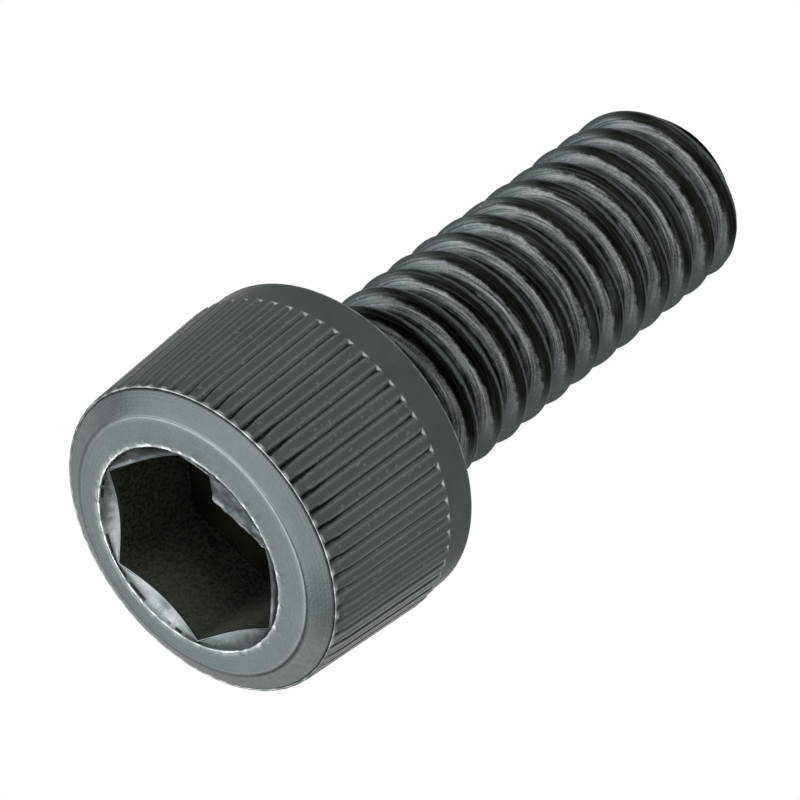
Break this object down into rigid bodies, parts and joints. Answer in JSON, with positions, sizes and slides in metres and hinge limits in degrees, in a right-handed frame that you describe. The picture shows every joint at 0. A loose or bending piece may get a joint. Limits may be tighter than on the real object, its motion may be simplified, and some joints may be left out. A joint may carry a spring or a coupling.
{
  "type": "socket head cap screw",
  "caption": "Black-finished steel cap screw with a knurled, slightly tapered head, a hexagon socket bruised at its mouth, and a coarse thread running right up to the head.",
  "frame": {"origin": "centre of the head's flat face, on the screw's axis; the screw stands on its head", "axes": "+Z along the screw's axis from the head's face to the tip, +X towards one corner of the hexagon socket"},
  "size_m": [0.0068, 0.0068, 0.0153],
  "materials": {
    "black_oxide_steel": "black oxide over alloy steel, oiled, with a soft satin sheen"
  },
  "bodies": {
    "root": {"cap_screw": "black_oxide_steel"}
  },
  "joints": []
}
